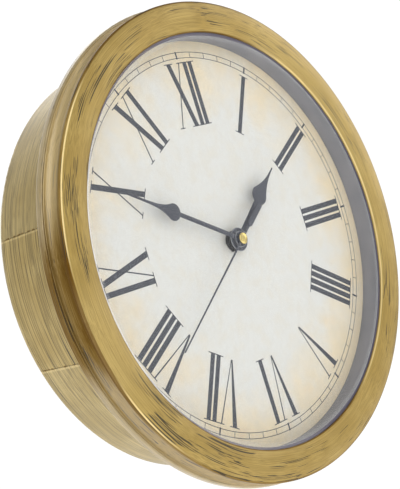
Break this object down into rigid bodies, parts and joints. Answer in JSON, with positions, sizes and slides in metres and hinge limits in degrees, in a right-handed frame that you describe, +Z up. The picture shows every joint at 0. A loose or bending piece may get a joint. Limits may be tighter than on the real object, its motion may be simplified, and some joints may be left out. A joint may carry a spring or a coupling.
{
  "type": "wall clock safe",
  "caption": "Round wall clock with Roman dial and spade hands; its whole front is a side-hinged door over a shallow drum with shelves for hiding small valuables.",
  "frame": {"origin": "centre of the drum's back face, on the wall", "axes": "+Z up the wall, +Y into the wall, so the dial faces -Y; +X to the right as seen from the front"},
  "size_m": [0.25, 0.0665, 0.25],
  "materials": {
    "gold": "black moulding dry-brushed with gold paint",
    "black_plastic": "matt moulded",
    "grey_ring": "satin moulded",
    "clear": "polished, bevelled edge",
    "dial_card": "printed card, aged towards the rim",
    "slate": "satin slate paint",
    "brass": "turned and polished",
    "steel": "zinc plated",
    "black_metal": "black oxide",
    "ivory": "moulded acetal",
    "rubber": "matt",
    "copper": "enamelled copper wire",
    "board": "green solder resist",
    "cell": "plain sleeve"
  },
  "bodies": {
    "case": {"rear_case": "gold", "hinge_panel": "gold", "hinge_panel_screws": "steel", "hinge_pin": "steel", "upper_shelf": "black_plastic", "lower_shelf": "black_plastic", "catch_magnet": "steel"},
    "door": {"door_back": "gold", "door_screws": "steel", "strike_plate": "steel", "bezel": "gold", "lens": "clear", "spacer_ring": "grey_ring", "dial": "dial_card", "movement_base": "black_plastic", "movement_cover": "black_plastic", "middle_plate": "ivory", "sealing_washer": "rubber", "nut_washer": "black_metal", "mounting_nut": "black_metal", "battery": "cell", "battery_contacts": "steel", "coil": "copper", "stator": "steel", "circuit_board": "board"},
    "rotor": {"rotor": "steel"},
    "intermediate": {"intermediate_wheel": "ivory"},
    "seconds": {"second_wheel": "ivory", "second_hand": "slate", "second_cap": "brass"},
    "third": {"third_wheel": "ivory"},
    "clutch": {"clutch_wheel": "ivory"},
    "minutes": {"minute_arbor": "brass", "minute_hand": "slate"},
    "motion": {"motion_wheel": "ivory"},
    "hours": {"hour_wheel": "ivory", "hour_hand": "slate"},
    "setting": {"setting_knob": "black_plastic"}
  },
  "joints": [
    {"name": "door_hinge", "type": "hinge", "parent": "case", "child": "door", "pos_m": [-0.115, -0.0455, 0], "axis": [0, 0, -1], "range_deg": [0, 110]},
    {"name": "second_spin", "type": "hinge", "parent": "door", "child": "seconds", "pos_m": [0, -0.04, 0], "axis": [0, 1, 0], "continuous": true},
    {"name": "rotor_spin", "type": "hinge", "parent": "door", "child": "rotor", "pos_m": [0.01212, -0.04, 0.01219], "axis": [0, 1, 0], "continuous": true},
    {"name": "intermediate_spin", "type": "hinge", "parent": "door", "child": "intermediate", "pos_m": [0.0045, -0.04, 0.00779], "axis": [0, 1, 0], "continuous": true},
    {"name": "third_spin", "type": "hinge", "parent": "door", "child": "third", "pos_m": [-0.00779, -0.04, 0.0045], "axis": [0, 1, 0], "continuous": true},
    {"name": "clutch_spin", "type": "hinge", "parent": "door", "child": "clutch", "pos_m": [0, -0.04, 0], "axis": [0, 1, 0], "continuous": true},
    {"name": "minute_spin", "type": "hinge", "parent": "door", "child": "minutes", "pos_m": [0, -0.04, 0], "axis": [0, 1, 0], "continuous": true},
    {"name": "motion_spin", "type": "hinge", "parent": "door", "child": "motion", "pos_m": [0.009, -0.04, 0], "axis": [0, 1, 0], "continuous": true},
    {"name": "hour_spin", "type": "hinge", "parent": "door", "child": "hours", "pos_m": [0, -0.04, 0], "axis": [0, 1, 0], "continuous": true},
    {"name": "setting_spin", "type": "hinge", "parent": "door", "child": "setting", "pos_m": [0.01777, -0.04, -0.00506], "axis": [0, 1, 0], "continuous": true}
  ],
  "couplings": [
    {"joint": "intermediate_spin", "follows": "second_spin", "ratio": -5},
    {"joint": "rotor_spin", "follows": "second_spin", "ratio": 30},
    {"joint": "third_spin", "follows": "second_spin", "ratio": -0.13333},
    {"joint": "clutch_spin", "follows": "second_spin", "ratio": 0.016667},
    {"joint": "motion_spin", "follows": "minute_spin", "ratio": -0.33333},
    {"joint": "hour_spin", "follows": "minute_spin", "ratio": 0.083333},
    {"joint": "setting_spin", "follows": "minute_spin", "ratio": 0.66667}
  ]
}
